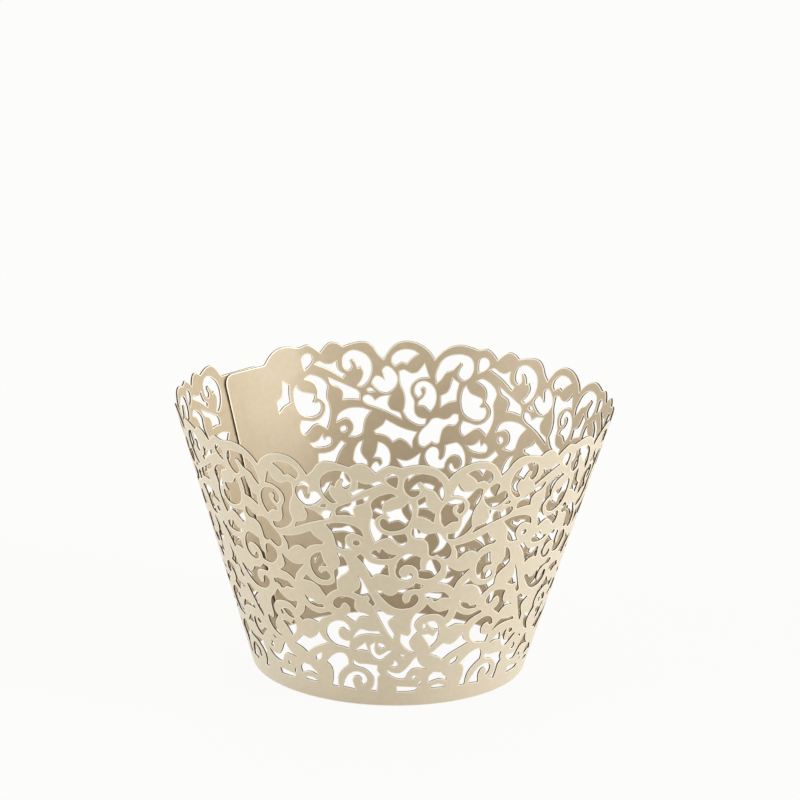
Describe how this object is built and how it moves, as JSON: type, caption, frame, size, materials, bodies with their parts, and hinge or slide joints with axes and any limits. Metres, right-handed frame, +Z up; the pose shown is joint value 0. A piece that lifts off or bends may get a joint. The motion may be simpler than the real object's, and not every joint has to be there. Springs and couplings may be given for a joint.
{
  "type": "cupcake wrapper",
  "caption": "Pierced card cupcake wrapper: an open tapered sleeve with a scalloped rim and a cut-through scroll-and-vine pattern, placed round a baked cupcake.",
  "frame": {"origin": "centre of the base circle, at the level it stands on", "axes": "+Z up along the axis of the cup, -Y to the front, the lapped seam at the back left"},
  "size_m": [0.0801, 0.0802, 0.05],
  "materials": {
    "pearl_card": "satin"
  },
  "bodies": {
    "root": {"wrapper": "pearl_card"}
  },
  "joints": []
}
